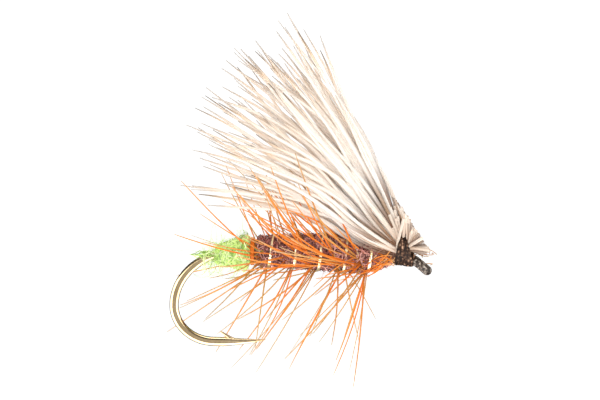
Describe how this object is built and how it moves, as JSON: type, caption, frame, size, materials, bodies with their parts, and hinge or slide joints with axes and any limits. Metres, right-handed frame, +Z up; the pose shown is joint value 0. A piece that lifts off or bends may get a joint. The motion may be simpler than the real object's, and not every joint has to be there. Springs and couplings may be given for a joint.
{
  "type": "dry fly",
  "caption": "Caddis dry fly: elk hair wing and trimmed head, palmered brown hackle over a ribbed dubbed body, bright egg-sac butt, barbed down-eye hook.",
  "frame": {"origin": "centre of the hook eye's hole", "axes": "+X forward along the hook shank to the eye, +Z up from the shank to the wing, +Y across the hook to the far side of the plane it is bent in"},
  "size_m": [0.0142, 0.0153, 0.0208],
  "materials": {
    "bronzed_hook_steel": "bronzed and polished",
    "tying_thread": "waxed, dark brown",
    "chartreuse_dubbing": "fuzzy synthetic dubbing",
    "brown_dubbing": "woolly fur dubbing",
    "gold_rib": "flat pale gold",
    "brown_hackle": "glossy orange-brown feather",
    "elk_hair": "bleached hollow hair, satin"
  },
  "bodies": {
    "root": {"hook": "bronzed_hook_steel", "thread_underbody": "tying_thread", "egg_sac_butt": "chartreuse_dubbing", "thread_rear_band": "tying_thread", "dubbed_abdomen": "brown_dubbing", "rib_wire": "gold_rib", "hackle_feather": "brown_hackle", "thread_collar": "tying_thread", "thread_head": "tying_thread", "elk_hair_01": "elk_hair", "elk_hair_02": "elk_hair", "elk_hair_03": "elk_hair", "elk_hair_04": "elk_hair", "elk_hair_05": "elk_hair", "elk_hair_06": "elk_hair", "elk_hair_07": "elk_hair", "elk_hair_08": "elk_hair", "elk_hair_09": "elk_hair", "elk_hair_10": "elk_hair", "elk_hair_11": "elk_hair", "elk_hair_12": "elk_hair", "elk_hair_13": "elk_hair", "elk_hair_14": "elk_hair", "elk_hair_15": "elk_hair", "elk_hair_16": "elk_hair", "elk_hair_17": "elk_hair", "elk_hair_18": "elk_hair", "elk_hair_19": "elk_hair", "elk_hair_20": "elk_hair", "elk_hair_21": "elk_hair", "elk_hair_22": "elk_hair", "elk_hair_23": "elk_hair", "elk_hair_24": "elk_hair", "elk_hair_25": "elk_hair", "elk_hair_26": "elk_hair", "elk_hair_27": "elk_hair", "elk_hair_28": "elk_hair", "elk_hair_29": "elk_hair", "elk_hair_30": "elk_hair", "elk_hair_31": "elk_hair", "elk_hair_32": "elk_hair", "elk_hair_33": "elk_hair"}
  },
  "joints": []
}
